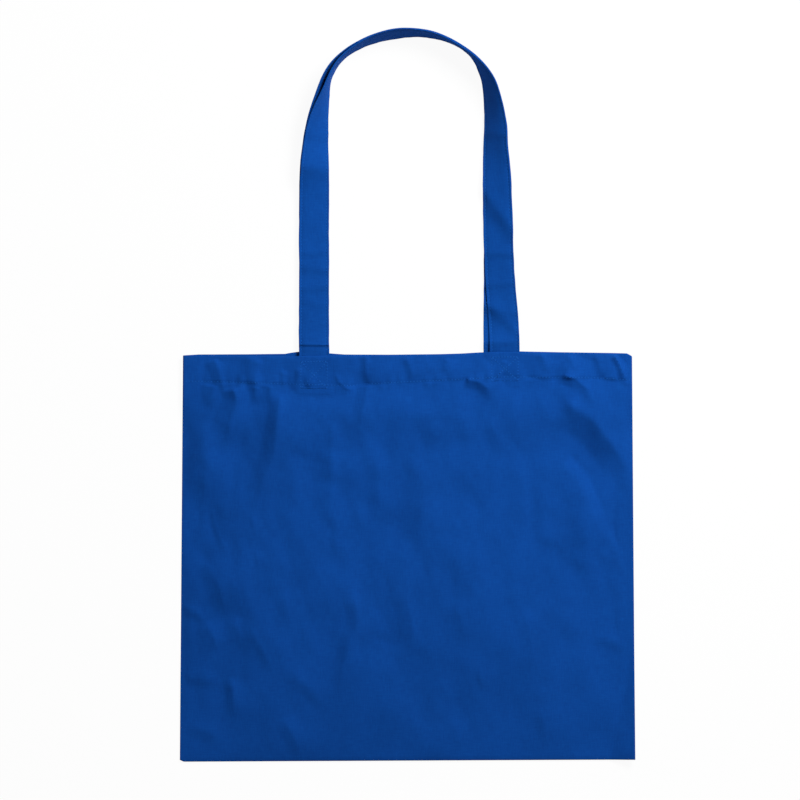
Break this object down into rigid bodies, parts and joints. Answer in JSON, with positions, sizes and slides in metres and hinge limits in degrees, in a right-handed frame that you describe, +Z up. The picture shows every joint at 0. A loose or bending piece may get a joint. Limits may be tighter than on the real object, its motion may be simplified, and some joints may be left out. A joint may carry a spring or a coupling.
{
  "type": "cotton tote bag",
  "caption": "Flat cotton tote bag with a turned hem and two long shoulder handles, lying on its back panel with the handles laid out above the mouth.",
  "frame": {"origin": "centre of the whole bag's footprint, handles included, on the surface it lies on", "axes": "+X to the right of the front panel, +Y from the bottom fold towards the handles, +Z up, out of the front panel"},
  "size_m": [0.425, 0.6844, 0.0289],
  "materials": {
    "cotton_cloth": "matte",
    "handle_cloth": "matte",
    "sewing_thread": "satin"
  },
  "bodies": {
    "root": {"bag_body": "cotton_cloth", "front_handle": "handle_cloth", "back_handle": "handle_cloth", "front_hem_stitching": "sewing_thread", "back_hem_stitching": "sewing_thread", "front_handle_inner_stitching": "sewing_thread", "front_handle_outer_stitching": "sewing_thread", "back_handle_inner_stitching": "sewing_thread", "back_handle_outer_stitching": "sewing_thread", "front_left_box_stitching": "sewing_thread", "front_right_box_stitching": "sewing_thread", "back_left_box_stitching": "sewing_thread", "back_right_box_stitching": "sewing_thread", "left_side_seam_thread": "sewing_thread", "right_side_seam_thread": "sewing_thread"}
  },
  "joints": []
}
